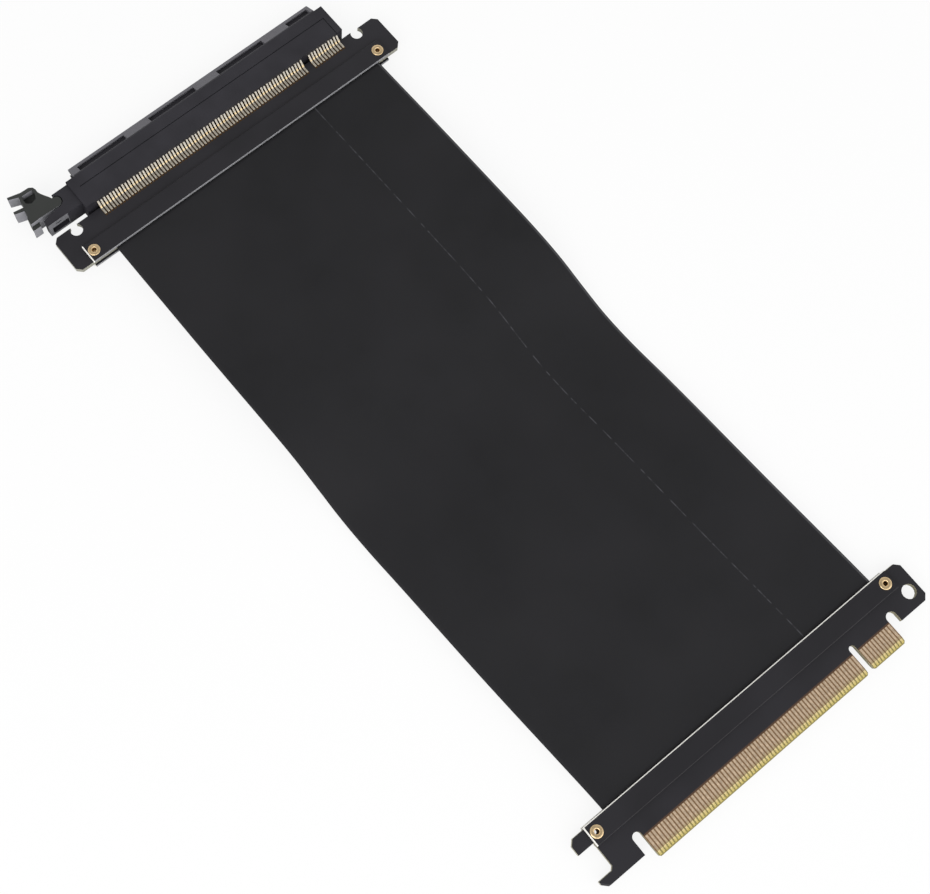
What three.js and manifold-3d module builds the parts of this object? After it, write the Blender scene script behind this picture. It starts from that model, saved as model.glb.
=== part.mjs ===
// Riser cable for a sixteen-lane expansion card, lying as it was set down.
// A slot connector on a small board, a flat wrapped ribbon and a board with a card-edge plug.
// Millimetres, +Z up. X runs along both rows of contacts, Y from the plug to the mouth of the socket.
// The socket end is drawn where the upper tails leave the housing: x 0 is the middle of the row, y 0 there.
import * as THREE from "three";
import { mergeGeometries, mergeVertices } from "three/addons/utils/BufferGeometryUtils.js";
import Module from "manifold-3d";

const wasm = await Module();
wasm.setup();

// Row of contacts, the same on the plug and in the socket
const pitch = 1.0;
const shortGroup = 11;
const longGroup = 71;
const keySteps = 3;
const rowHalf = ((shortGroup + longGroup - 2 + keySteps) * pitch) / 2;
const keyX = rowHalf - (shortGroup - 1 + keySteps / 2) * pitch;
const rowX = [];
for (let i = 0; i < shortGroup; i += 1) rowX.push(rowHalf - i * pitch);
for (let i = 0; i < longGroup; i += 1) rowX.push(rowHalf - (shortGroup - 1 + keySteps + i) * pitch);

// Across the row: ribbon, eyelets, cover strips and boards, each past the one before
const ribbonMargin = 4.35;
const eyeletMargin = 3.45;
const stripMargin = 2.1;
const boardMargin = 4.85;
const ribbonWidth = 2 * (rowHalf + ribbonMargin);
const eyeletSpacing = ribbonWidth + 2 * eyeletMargin;
const stripLength = eyeletSpacing + 2 * stripMargin;
const boardLength = stripLength + 2 * boardMargin;
const boardMiddleX = -1.3;
const boardLeft = boardMiddleX - boardLength / 2;
const boardRight = boardMiddleX + boardLength / 2;

// Boards
const boardThick = 1.57;
const boardDepth = 11.95;
const cornerCut = 1.35;

// Cover strips, one above and one below the ribbon's soldered ends, held by two eyelets
const stripThick = 0.8;
const stripWidth = 5.6;
const stripOverhang = 0.5;
const stripEdgeCut = 0.15;
const solderGap = 0.4;
const eyeletBarrel = 0.95;
const eyeletHole = 0.6;
const eyeletFlange = 1.7;
const flangeThick = 0.25;
const eyeletClearance = 0.1;

// Ribbon: two layers of flat cable in one wrap
const layerThick = 0.9;
const layerInset = 1.6;
const layerGap = 0.05;
const wrapThick = 0.15;
const wrapClearance = 0.05;
const wrapStart = 0.3;
const solderedLength = 4.4;
const endStep = 0.15;
const edgeRound = 0.9;
const wrapHalf = layerGap + layerThick + wrapClearance + wrapThick;

// Socket housing
const housingHigh = 7.7;
const latchEndWall = 3.7;
const keyEndWall = 2.1;
const housingLeft = -(rowHalf + latchEndWall);
const housingRight = rowHalf + keyEndWall;
const housingBack = -0.9;
const housingShoulder = 8.65;
const lipLeft = housingLeft + 3.0;
const lipRight = housingRight - 2.5;
const lipFront = 12.2;
const lipDrop = 1.8;
const middleZ = housingHigh / 2;
const slotWide = boardThick + 0.25;
const slotDepth = 9.0;
const slotEnd = 0.85;
const mouthFlare = 0.6;
const mouthDepth = 0.7;
const keyRib = 1.7;
const pocketBack = 9.15;
const pocketFront = 11.1;
const pocketFloor = 1.85;
const pocketShares = [[0.028, 0.217], [0.317, 0.505], [0.601, 0.793], [0.896, 0.988]];
const grooveWide = 0.25;
const grooveDeep = 0.25;
const grooveY = 5.3;
const grooveLeft = lipLeft - 0.6;
const grooveRight = housingRight - 1.85;

// Contacts: one sprung beam in the slot and one tail on the board for each
const contactWide = 0.56;
const beamWide = 0.5;
const beamReach = 0.36;
const beamBack = 4.4;
const beamPeak = 8.3;
const beamFront = 10.0;
const tailThick = 0.2;
const tailRise = 2.45;
const tailStagger = 0.3;
const tailKnee = -2.45;
const tailEnd = -4.3;
const solderFilm = 0.02;
const rootDepth = 0.15;

// Latch and the end of the housing that carries it
const armLeft = housingLeft - 11.2;
const armBack = 1.2;
const armFront = 4.1;
const armTipFront = 3.1;
const armInset = 0.7;
const seatLeft = housingLeft - 5.1;
const seatFront = 8.2;
const pivotX = seatLeft - 0.1;
const pivotY = 5.95;
const armTaperX = pivotX - 1.1;
const heelRadius = 1.5;
const latchClearance = 0.3;
const pivotRadius = 0.9;
const pivotClearance = 0.08;
const ledgeRadius = 2.2;
const ledgeThick = 1.0;
const latchInset = 0.15;
const recessDeep = 2.3;
const armSlot = { left: armLeft + 1.0, right: armLeft + 6.2, low: 1.6, high: 4.4, deep: 1.7 };
const armSlit = { left: armLeft + 2.3, right: armLeft + 4.1, low: 5.4, high: 5.8, deep: 1.0 };

// Outline of the latch from its pivot, without the round heel: nose, upper tab, lower tab, foot
const latchNose = [[-0.7, 2.35], [-1.3, 3.35], [-1.9, 4.45], [-2.25, 5.4], [-2.2, 6.35], [-2.5, 7.35], [-3.5, 8.0]];
const latchUpperTab = [[-6.0, 8.1], [-9.75, 9.1], [-9.95, 8.35], [-7.2, 7.25]];
const latchLowerTab = [[-7.35, 5.85], [-7.75, 4.0], [-10.85, 4.55], [-10.95, 3.75], [-8.3, 2.9]];
const latchFoot = [[-8.35, 1.65], [-9.05, 0.45], [-9.15, -1.35], [-9.65, -2.65], [-7.2, -2.65], [-6.9, -1.25]];
const latchRecess = [[-6.7, 5.95], [-6.7, 4.55], [-5.5, 3.65], [-3.8, 4.05], [-3.1, 5.45], [-3.2, 6.85], [-6.3, 7.0]];
const upperTabLow = 2.3;
const lowerTabLow = 1.5;
const footHigh = 5.3;

// Socket board
const socketFront = -1.8;
const socketHoles = [[boardLeft + 6.9, -3.2], [boardRight - 7.65, -3.0]];
const socketHoleRadius = 1.75;

// Plug board, drawn from the middle of its tab's edge: y 0 at the edge, growing towards the ribbon
const plugX = 4.18;
const plugY = -225.2;
const plugYaw = THREE.MathUtils.degToRad(-0.786);
const plugBack = 16.6;
const tabMargin = 0.65;
const tabCornerCut = 0.5;
const bevelLong = 1.5;
const bevelDeep = 0.45;
const keyNotch = 1.9;
const keyNotchDeep = 8.25;
const earFront = 4.65;
const reliefRight = { wide: 3.0, deep: 8.4 };
const reliefLeft = { wide: 2.6, deep: 8.3 };
const plugHole = { x: boardRight - 3.05, y: 8.9, radius: 2.0 };
const hookFront = 2.7;
const hookBack = 5.05;
const hookTipX = boardLeft - 0.15;
const hookSlant = 1.35;
const hookBevel = 0.5;
const forkX = boardLeft + boardMargin;
const forkBack = 12.65;
const forkCorner = 0.8;
const fingerWide = 0.7;
const fingerTop = 6.05;
const fingerEdge = 0.35;
const fingerThick = 0.06;

// Heights: the socket board lies in the middle of its housing, the plug rests on its eyelets
const stackHalf = boardThick / 2 + solderGap + stripThick + flangeThick;
const plugMiddleZ = stackHalf;

const arcSteps = 12;
const roundSteps = 24;
const smallSteps = 16;
const sink = 0.1;
const beyond = 1.0;

const colours = {
  board: new THREE.MeshStandardMaterial({ color: 0x242326, roughness: 0.5, metalness: 0.0 }),
  strip: new THREE.MeshStandardMaterial({ color: 0x1d1c1f, roughness: 0.45, metalness: 0.0 }),
  housing: new THREE.MeshStandardMaterial({ color: 0x37353a, roughness: 0.55, metalness: 0.0 }),
  latch: new THREE.MeshStandardMaterial({ color: 0x30332f, roughness: 0.55, metalness: 0.0 }),
  brass: new THREE.MeshStandardMaterial({ color: 0xc9a86a, roughness: 0.3, metalness: 1.0 }),
  cable: new THREE.MeshStandardMaterial({ color: 0x8d8f93, roughness: 0.6, metalness: 0.0 }),
  wrap: new THREE.MeshStandardMaterial({ color: 0x242527, roughness: 0.9, metalness: 0.0 }),
};

// Closed geometry to solid and back
function solid(geometry) {
  const bare = geometry.clone();
  for (const name of Object.keys(bare.attributes)) if (name !== "position") bare.deleteAttribute(name);
  const merged = mergeVertices(bare, 1e-5);
  return new wasm.Manifold(new wasm.Mesh({
    numProp: 3,
    vertProperties: new Float32Array(merged.attributes.position.array),
    triVerts: new Uint32Array(merged.index.array),
  }));
}

function surface(body) {
  const mesh = body.getMesh();
  const geometry = new THREE.BufferGeometry();
  geometry.setAttribute("position", new THREE.BufferAttribute(new Float32Array(mesh.vertProperties), 3));
  geometry.setIndex(new THREE.BufferAttribute(new Uint32Array(mesh.triVerts), 1));
  geometry.computeVertexNormals();
  return geometry;
}

function piece(name, geometry, material) {
  const mesh = new THREE.Mesh(geometry, material);
  mesh.name = name;
  return mesh;
}

function polygon(points) {
  return new THREE.Shape(points.map(([a, b]) => new THREE.Vector2(a, b)));
}

// An outline in plan, extruded from one height to another
function slab(shape, low, high) {
  const options = { depth: high - low, bevelEnabled: false, curveSegments: arcSteps };
  return new THREE.ExtrudeGeometry(shape, options).translate(0, 0, low);
}

// A profile of (y, z) points, extruded along X
function bar(profile, left, right) {
  const geometry = new THREE.ExtrudeGeometry(polygon(profile), { depth: right - left, bevelEnabled: false });
  geometry.applyMatrix4(new THREE.Matrix4().set(0, 0, 1, left, 1, 0, 0, 0, 0, 1, 0, 0, 0, 0, 0, 1));
  return geometry;
}

function box(left, right, back, front, low, high) {
  return bar([[back, low], [front, low], [front, high], [back, high]], left, right);
}

function disc(x, y, radius, low, high, steps = roundSteps) {
  const geometry = new THREE.CylinderGeometry(radius, radius, high - low, steps);
  return geometry.rotateX(Math.PI / 2).translate(x, y, (low + high) / 2);
}

// The same profile above and below a middle height
function mirrored(profile, middle) {
  return profile.map(([y, z]) => [y, 2 * middle - z]);
}

// Rings of equal length, one after another, closed by caps or, with an inner set, into a tube
function skin(rings, inner = null) {
  const sides = rings[0].length;
  const last = rings.length - 1;
  const points = rings.flat().concat(inner ? inner.flat() : []);
  const offset = rings.length * sides;
  const index = [];
  for (let i = 0; i < last; i += 1) {
    for (let k = 0; k < sides; k += 1) {
      const next = (k + 1) % sides;
      const a = i * sides + k;
      const b = i * sides + next;
      index.push(a, b, b + sides, a, b + sides, a + sides);
      if (inner) index.push(offset + a, offset + b + sides, offset + b, offset + a, offset + a + sides, offset + b + sides);
    }
  }
  for (let k = 0; k < sides; k += 1) {
    const next = (k + 1) % sides;
    const a = last * sides + k;
    const b = last * sides + next;
    if (inner) {
      index.push(k, offset + next, next, k, offset + k, offset + next);
      index.push(a, b, offset + b, a, offset + b, offset + a);
    } else if (k > 0 && k < sides - 1) {
      index.push(0, next, k);
      index.push(last * sides, a, b);
    }
  }
  const geometry = new THREE.BufferGeometry();
  geometry.setAttribute("position", new THREE.BufferAttribute(new Float32Array(points.flat()), 3));
  geometry.setIndex(index);
  geometry.computeVertexNormals();
  return geometry;
}

// Cover strips and eyelets of one end. back is the board's ribbon edge, outwards is -1 or 1 along Y
function covers(prefix, middle, edge, outwards) {
  const outer = edge + outwards * stripOverhang;
  const inner = outer - outwards * stripWidth;
  const eyeY = (outer + inner) / 2;
  const eyes = [boardMiddleX - eyeletSpacing / 2, boardMiddleX + eyeletSpacing / 2];
  const holes = eyes.map((x) => [x, eyeY, eyeletBarrel + eyeletClearance]);
  const left = boardMiddleX - stripLength / 2;
  const right = boardMiddleX + stripLength / 2;
  const low = middle + boardThick / 2 + solderGap;
  const section = [
    [Math.min(inner, outer), low],
    [Math.max(inner, outer), low],
    [Math.max(inner, outer), low + stripThick - stripEdgeCut],
    [Math.max(inner, outer) - stripEdgeCut, low + stripThick],
    [Math.min(inner, outer) + stripEdgeCut, low + stripThick],
    [Math.min(inner, outer), low + stripThick - stripEdgeCut],
  ];
  const group = new THREE.Group();
  for (const [side, profile] of [["upper", section], ["lower", mirrored(section, middle)]]) {
    let strip = solid(bar(profile, left, right));
    for (const [x, y, radius] of holes) {
      strip = strip.subtract(solid(disc(x, y, radius, middle - stackHalf - beyond, middle + stackHalf + beyond, smallSteps)));
    }
    group.add(piece(`${prefix}_strip_${side}`, surface(strip), colours.strip));
  }
  const reach = stackHalf - flangeThick;
  const rivet = [
    [eyeletHole, -stackHalf], [eyeletFlange, -stackHalf], [eyeletFlange, -reach], [eyeletBarrel, -reach],
    [eyeletBarrel, reach], [eyeletFlange, reach], [eyeletFlange - flangeThick, stackHalf],
    [eyeletHole + flangeThick, stackHalf], [eyeletHole, reach], [eyeletHole, -stackHalf],
  ].map(([radius, height]) => new THREE.Vector2(radius, height));
  eyes.forEach((x, i) => {
    const eyelet = new THREE.LatheGeometry(rivet, smallSteps).rotateX(Math.PI / 2).translate(x, eyeY, middle);
    group.add(piece(`${prefix}_eyelet_${i ? "right" : "left"}`, eyelet, colours.brass));
  });
  return { group, holes };
}

// Contact row of the socket: beams on both walls of the slot, tails on both faces of the board
function contacts() {
  const bars = [];
  const wall = middleZ + slotWide / 2;
  const beam = [
    [beamBack, wall + sink], [beamBack, wall], [beamPeak, wall - beamReach], [beamFront, wall], [beamFront, wall + sink],
  ];
  const pad = middleZ + boardThick / 2 + solderFilm;
  rowX.forEach((x, i) => {
    const rise = tailRise + (i % 2 ? tailStagger : 0);
    const top = middleZ + rise + tailThick;
    const tail = [
      [housingBack + rootDepth, top + sink], [tailKnee, pad + tailThick], [tailEnd, pad + tailThick],
      [tailEnd, pad], [tailKnee - sink, pad], [housingBack + rootDepth, top - tailThick - sink],
    ];
    for (const [profile, half] of [[beam, beamWide / 2], [tail, contactWide / 2]]) {
      bars.push(bar(profile, x - half, x + half));
      bars.push(bar(mirrored(profile, middleZ), x - half, x + half));
    }
  });
  return solid(mergeGeometries(bars));
}

function socketHousing() {
  let body = solid(box(housingLeft, housingRight, housingBack, housingShoulder, 0, housingHigh));
  const lip = [
    [housingShoulder - beyond, 0], [housingShoulder, 0], [lipFront, lipDrop], [lipFront, housingHigh - lipDrop],
    [housingShoulder, housingHigh], [housingShoulder - beyond, housingHigh],
  ];
  body = body.add(solid(bar(lip, lipLeft, lipRight)));
  for (const [from, to] of pocketShares) {
    const left = lipLeft + from * (lipRight - lipLeft);
    const right = lipLeft + to * (lipRight - lipLeft);
    body = body.subtract(solid(box(left, right, pocketBack, pocketFront, middleZ + pocketFloor, housingHigh + beyond)));
    body = body.subtract(solid(box(left, right, pocketBack, pocketFront, -beyond, middleZ - pocketFloor)));
  }

  // Card slot in two runs, with the key rib between them, and a flared mouth over both
  const half = slotWide / 2;
  const slotHalf = rowHalf + slotEnd;
  const slotBack = lipFront - slotDepth;
  for (const [left, right] of [[-slotHalf, keyX - keyRib / 2], [keyX + keyRib / 2, slotHalf]]) {
    body = body.subtract(solid(box(left, right, slotBack, lipFront + beyond, middleZ - half, middleZ + half)));
  }
  const mouth = [
    [lipFront - mouthDepth, middleZ - half], [lipFront + sink, middleZ - half - mouthFlare],
    [lipFront + sink, middleZ + half + mouthFlare], [lipFront - mouthDepth, middleZ + half],
  ];
  body = body.subtract(solid(bar(mouth, -slotHalf, slotHalf)));

  // Shallow line around the raised panel on top
  const floor = housingHigh - grooveDeep;
  const line = solid(box(grooveLeft, grooveRight, grooveY - grooveWide, grooveY, floor, housingHigh + beyond));
  const turn = solid(box(grooveRight - grooveWide, grooveRight, housingBack - beyond, grooveY, floor, housingHigh + beyond));
  body = body.subtract(line.add(turn));

  // End of the housing beside the latch: an arm behind it, a round seat, a ledge and a pivot below
  const armHigh = housingHigh - armInset;
  const armPlan = [
    [armLeft, armBack], [housingLeft + beyond, armBack], [housingLeft + beyond, seatFront], [seatLeft, seatFront],
    [seatLeft, armFront], [armTaperX, armFront], [armLeft, armTipFront],
  ];
  let arm = solid(slab(polygon(armPlan), armInset, armHigh));
  const ledgeTop = armInset + ledgeThick;
  arm = arm.subtract(solid(disc(pivotX, pivotY, heelRadius + latchClearance, ledgeTop, armHigh + beyond)));
  arm = arm.add(solid(disc(pivotX, pivotY, ledgeRadius, armInset, ledgeTop)));
  const pivotTop = armHigh - latchInset - recessDeep / 2;
  arm = arm.add(solid(disc(pivotX, pivotY, pivotRadius, ledgeTop - sink, pivotTop)));
  for (const cut of [armSlot, armSlit]) {
    arm = arm.subtract(solid(box(cut.left, cut.right, armBack - beyond, armBack + cut.deep, cut.low, cut.high)));
  }
  return body.add(arm).add(contacts());
}

// The latch: a moulded lever with two finger tabs, a nose that holds the card and a round heel
function latchOutline() {
  const shape = new THREE.Shape();
  shape.moveTo(pivotX, pivotY - heelRadius);
  shape.absarc(pivotX, pivotY, heelRadius, -Math.PI / 2, THREE.MathUtils.degToRad(100), false);
  for (const [x, y] of [...latchNose, ...latchUpperTab, ...latchLowerTab, ...latchFoot]) {
    shape.lineTo(pivotX + x, pivotY + y);
  }
  shape.closePath();
  return shape;
}

function latch() {
  const low = armInset + latchInset;
  const high = housingHigh - armInset - latchInset;
  let body = solid(slab(latchOutline(), low, high));
  const recess = polygon(latchRecess.map(([x, y]) => [pivotX + x, pivotY + y]));
  body = body.subtract(solid(slab(recess, high - recessDeep, high + beyond)));
  body = body.subtract(solid(slab(recess, low - beyond, low + recessDeep)));

  // The tabs do not reach down all the way, nor the foot up
  const corner = (points, i) => [pivotX + points[i][0], pivotY + points[i][1]];
  const [upperRoot, upperSide] = corner(latchUpperTab, 3);
  const [lowerRoot, lowerSide] = corner(latchLowerTab, 1);
  const footLine = pivotY + latchFoot[2][1];
  const tabs = [
    [upperRoot, upperSide - beyond, upperSide + 3 * beyond, low - beyond, upperTabLow],
    [lowerRoot, lowerSide - 2 * beyond, lowerSide + beyond, low - beyond, lowerTabLow],
    [pivotX + latchFoot[4][0] + beyond, footLine - 2 * beyond, footLine, footHigh, high + beyond],
  ];
  for (const [right, back, front, from, to] of tabs) {
    body = body.subtract(solid(box(armLeft - 10 * beyond, right, back, front, from, to)));
  }

  const ledgeTop = armInset + ledgeThick;
  const boreTop = high - recessDeep / 2 + latchClearance;
  const clear = ledgeRadius + latchClearance;
  body = body.subtract(solid(disc(pivotX, pivotY, clear, low - beyond, ledgeTop + latchClearance)));
  return body.subtract(solid(disc(pivotX, pivotY, pivotRadius + pivotClearance, low, boreTop)));
}

function socketBoard(holes) {
  const back = socketFront - boardDepth;
  const plan = [
    [boardLeft + cornerCut, back], [boardRight - cornerCut, back], [boardRight, back + cornerCut],
    [boardRight, socketFront - cornerCut], [boardRight - cornerCut, socketFront],
    [boardLeft + cornerCut, socketFront], [boardLeft, socketFront - cornerCut], [boardLeft, back + cornerCut],
  ];
  const low = middleZ - boardThick / 2;
  const high = middleZ + boardThick / 2;
  let board = solid(slab(polygon(plan), low, high));
  for (const [x, y] of socketHoles) board = board.subtract(solid(disc(x, y, socketHoleRadius, low - beyond, high + beyond)));
  for (const [x, y, radius] of holes) {
    board = board.subtract(solid(disc(x, y, radius, low - beyond, high + beyond, smallSteps)));
  }
  return board;
}

function plugOutline() {
  const tab = rowHalf + tabMargin;
  const shape = new THREE.Shape();
  const key = keyNotch / 2;
  shape.moveTo(-tab + tabCornerCut, 0);
  shape.lineTo(keyX - key - tabCornerCut, 0);
  shape.lineTo(keyX - key, tabCornerCut);
  shape.lineTo(keyX - key, keyNotchDeep - key);
  shape.absarc(keyX, keyNotchDeep - key, key, Math.PI, 0, true);
  shape.lineTo(keyX + key, tabCornerCut);
  shape.lineTo(keyX + key + tabCornerCut, 0);
  shape.lineTo(tab - tabCornerCut, 0);
  shape.lineTo(tab, tabCornerCut);
  const right = reliefRight.wide / 2;
  shape.lineTo(tab, reliefRight.deep - right);
  shape.absarc(tab + right, reliefRight.deep - right, right, Math.PI, 0, true);
  shape.lineTo(tab + reliefRight.wide, earFront);
  shape.lineTo(boardRight - cornerCut, earFront);
  shape.lineTo(boardRight, earFront + cornerCut);
  shape.lineTo(boardRight, plugBack - cornerCut);
  shape.lineTo(boardRight - cornerCut, plugBack);
  shape.lineTo(boardLeft + cornerCut, plugBack);
  shape.lineTo(boardLeft, plugBack - cornerCut);
  shape.lineTo(boardLeft, forkBack);
  shape.lineTo(forkX, forkBack);
  shape.lineTo(forkX, hookBack + forkCorner);
  shape.lineTo(forkX - forkCorner, hookBack);
  shape.lineTo(hookTipX, hookBack);
  shape.lineTo(hookTipX, hookFront + hookSlant);
  shape.lineTo(hookTipX + hookSlant, hookFront);
  const left = reliefLeft.wide / 2;
  shape.lineTo(-tab - reliefLeft.wide, hookFront);
  shape.lineTo(-tab - reliefLeft.wide, reliefLeft.deep - left);
  shape.absarc(-tab - left, reliefLeft.deep - left, left, Math.PI, 0, true);
  shape.lineTo(-tab, tabCornerCut);
  shape.closePath();
  return shape;
}

function plugBoard(holes) {
  const tab = rowHalf + tabMargin;
  const half = boardThick / 2;
  const cuts = [...holes, [plugHole.x, plugHole.y, plugHole.radius]];
  let board = solid(slab(plugOutline(), -half, half));
  for (const [x, y, radius] of cuts) board = board.subtract(solid(disc(x, y, radius, -half - beyond, half + beyond, smallSteps)));

  // Long bevel on both faces of the tab's edge, and a small one on the tip of the hook
  const slope = bevelDeep / bevelLong;
  const bevel = [[-beyond, half - bevelDeep - slope * beyond], [bevelLong, half], [bevelLong, half + beyond], [-beyond, half + beyond]];
  board = board.subtract(solid(bar(bevel, -tab - sink, tab + sink)));
  board = board.subtract(solid(bar(mirrored(bevel, 0), -tab - sink, tab + sink)));
  const tip = box(-hookBevel, hookBevel, -beyond - hookSlant, beyond + hookSlant, -hookBevel, hookBevel);
  tip.rotateY(Math.PI / 4).rotateZ(Math.PI / 4).translate(hookTipX + hookSlant / 2, hookFront + hookSlant / 2, half + hookBevel / 2);
  board = board.subtract(solid(tip));

  const bars = [];
  const finger = [
    [fingerEdge, half - bevelDeep + slope * fingerEdge - sink], [fingerTop, half - sink], [fingerTop, half + fingerThick],
    [bevelLong, half + fingerThick], [fingerEdge, half - bevelDeep + slope * fingerEdge + fingerThick],
  ];
  for (const x of rowX) {
    bars.push(bar(finger, x - fingerWide / 2, x + fingerWide / 2));
    bars.push(bar(mirrored(finger, 0), x - fingerWide / 2, x + fingerWide / 2));
  }
  return board.add(solid(mergeGeometries(bars)));
}

// Route of the ribbon's middle from the socket board's edge to the plug board's edge, chosen by hand.
// It rises in a low wave, touches the surface once past the middle and rises a little again.
const socketEdge = socketFront - boardDepth;
const ribbonStartX = 0.7;
const ribbonEndX = 0.1;
const plugCos = Math.cos(plugYaw);
const plugSin = Math.sin(plugYaw);
function fromPlug(x, y) {
  return [plugX + plugCos * x - plugSin * y, plugY + plugSin * x + plugCos * y];
}
const [plugEndX, plugEndY] = fromPlug(ribbonEndX, plugBack);
const routePoints = [
  [ribbonStartX, socketEdge, middleZ],
  [0.7, -17, 3.9],
  [0.6, -24, 4.5],
  [0.5, -36, 5.4],
  [0.4, -50, 6.2],
  [0.5, -66, 6.5],
  [0.7, -80, 6.3],
  [0.9, -91, 5.0],
  [0.9, -101, 2.8],
  [0.8, -109, 1.5],
  [0.8, -115, wrapHalf + 0.02],
  [0.9, -123, 1.4],
  [1.2, -134, 2.3],
  [1.6, -148, 2.9],
  [2.1, -162, 3.0],
  [2.8, -176, 2.75],
  [3.6, -190, 2.45],
  [4.3, -203, plugMiddleZ],
  [plugEndX, plugEndY, plugMiddleZ],
];
const routeSteps = 30;
const route = new THREE.CatmullRomCurve3(routePoints.map(([x, y, z]) => new THREE.Vector3(x, y, z)), false, "centripetal");

// A section of the ribbon: pairs of (offset across, height over the middle), turned a little like the plug
function section(at, share, pairs) {
  const turn = plugYaw * share;
  return pairs.map(([across, height]) => [at.x + Math.cos(turn) * across, at.y + Math.sin(turn) * across, at.z + height]);
}

function alongPlug(distance) {
  const [x, y] = fromPlug(ribbonEndX, plugBack + distance);
  return new THREE.Vector3(x, y, plugMiddleZ);
}

function alongSocket(distance) {
  return new THREE.Vector3(ribbonStartX, socketEdge - distance, middleZ);
}

// Middle points from a distance past the socket board's edge to the same distance before the plug board's
function ribbonRun(start) {
  const run = [[alongSocket(start), 0]];
  for (let i = 1; i < routeSteps; i += 1) {
    const share = i / routeSteps;
    run.push([route.getPointAt(share), share]);
  }
  run.push([alongPlug(start), 1]);
  return run;
}

function wrap() {
  const half = ribbonWidth / 2;
  const ring = (grow) => {
    const h = wrapHalf - grow;
    const w = half - grow;
    const r = edgeRound;
    return [
      [w - r, -h], [w - 0.3 * r, -0.7 * h], [w, 0], [w - 0.3 * r, 0.7 * h], [w - r, h],
      [-w + r, h], [-w + 0.3 * r, 0.7 * h], [-w, 0], [-w + 0.3 * r, -0.7 * h], [-w + r, -h],
    ];
  };
  const run = ribbonRun(wrapStart);
  return skin(
    run.map(([at, share]) => section(at, share, ring(0))),
    run.map(([at, share]) => section(at, share, ring(wrapThick))),
  );
}

// One layer of flat cable. Its ends are bare and flattened, soldered to the face of each board
function cableLayer(up) {
  const across = ribbonWidth / 2 - layerInset;
  const face = boardThick / 2;
  const rect = (low, high) => {
    const [a, b] = up > 0 ? [low, high] : [-high, -low];
    return [[-across, a], [across, a], [across, b], [-across, b]];
  };
  const flat = rect(face, face + solderGap);
  const joint = rect(layerGap, face + solderGap);
  const full = rect(layerGap, layerGap + layerThick);
  const rings = [
    section(alongSocket(-solderedLength), 0, flat),
    section(alongSocket(endStep / 3), 0, flat),
    section(alongSocket(endStep / 2), 0, joint),
    section(alongSocket(endStep), 0, joint),
  ];
  for (const [at, share] of ribbonRun(2 * endStep)) rings.push(section(at, share, full));
  rings.push(section(alongPlug(endStep), 1, joint));
  rings.push(section(alongPlug(endStep / 2), 1, joint));
  rings.push(section(alongPlug(endStep / 3), 1, flat));
  rings.push(section(alongPlug(-solderedLength), 1, flat));
  return skin(rings);
}

const socketEnd = new THREE.Group();
const socketCovers = covers("socket", middleZ, socketEdge, -1);
socketEnd.add(piece("socket_housing", surface(socketHousing()), colours.housing));
socketEnd.add(piece("socket_latch", surface(latch()), colours.latch));
socketEnd.add(piece("socket_board", surface(socketBoard(socketCovers.holes)), colours.board));
socketEnd.add(socketCovers.group);

const plugEnd = new THREE.Group();
const plugCovers = covers("plug", 0, plugBack, 1);
plugEnd.add(piece("plug_board", surface(plugBoard(plugCovers.holes)), colours.board));
plugEnd.add(plugCovers.group);
plugEnd.position.set(plugX, plugY, plugMiddleZ);
plugEnd.rotation.z = plugYaw;

const ribbon = new THREE.Group();
ribbon.add(piece("ribbon_wrap", wrap(), colours.wrap));
ribbon.add(piece("ribbon_layer_upper", cableLayer(1), colours.cable));
ribbon.add(piece("ribbon_layer_lower", cableLayer(-1), colours.cable));

const riser = new THREE.Group();
riser.add(socketEnd, plugEnd, ribbon);

// The origin is the middle of the footprint, on the surface
const bounds = new THREE.Box3().setFromObject(riser, true);
const centre = bounds.getCenter(new THREE.Vector3());
riser.position.set(-centre.x, -centre.y, -bounds.min.z);

export default riser;
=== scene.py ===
"""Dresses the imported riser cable: contacts, gold fingers, eyelets, cloth wrap, finishes and the studio."""

import math

import bmesh
import bpy
from bpy.props import FloatProperty, FloatVectorProperty, PointerProperty
from mathutils import Matrix, Vector


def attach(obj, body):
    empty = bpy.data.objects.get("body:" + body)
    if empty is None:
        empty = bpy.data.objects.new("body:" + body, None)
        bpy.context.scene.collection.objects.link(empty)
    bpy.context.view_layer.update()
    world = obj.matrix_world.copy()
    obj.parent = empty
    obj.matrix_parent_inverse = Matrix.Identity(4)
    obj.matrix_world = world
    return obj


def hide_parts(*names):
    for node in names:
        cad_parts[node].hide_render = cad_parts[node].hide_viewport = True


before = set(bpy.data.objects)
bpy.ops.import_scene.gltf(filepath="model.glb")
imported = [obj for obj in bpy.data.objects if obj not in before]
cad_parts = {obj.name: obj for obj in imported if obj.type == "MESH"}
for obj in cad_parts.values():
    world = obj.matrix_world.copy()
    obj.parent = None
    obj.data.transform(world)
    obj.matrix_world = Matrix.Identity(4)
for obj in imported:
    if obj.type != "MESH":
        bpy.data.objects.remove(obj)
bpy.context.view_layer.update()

bl_info = {
    "name": "Riser cable",
    "version": (1, 0, 0),
    "blender": (4, 5, 0),
    "location": "View3D > Sidebar > Riser",
    "description": "Dresses a flat riser cable with its contacts, cloth wrap and finishes",
    "category": "Add Mesh",
}

MM = 0.001

# The socket end is drawn from the middle of its row of contacts, as the solids are
SOCKET_X = 1.008
SOCKET_Y = 105.361

# The plug end is drawn from the middle of its tab's edge and is turned a little
PLUG_X = 4.18 + SOCKET_X
PLUG_Y = -225.2 + SOCKET_Y
PLUG_TURN = math.radians(-0.786)

# Contacts of both rows: eleven, a key three steps wide, and seventy-one
ROW_HALF = 41.5
CONTACTS = [ROW_HALF - i for i in range(11)] + [ROW_HALF - 13 - i for i in range(71)]

SOCKET_MIDDLE = 3.85
PLUG_MIDDLE = 2.235
BOARD_HALF = 0.785
RIBBON_WIDE = 91.7
RIBBON_HALF = 1.15

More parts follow.
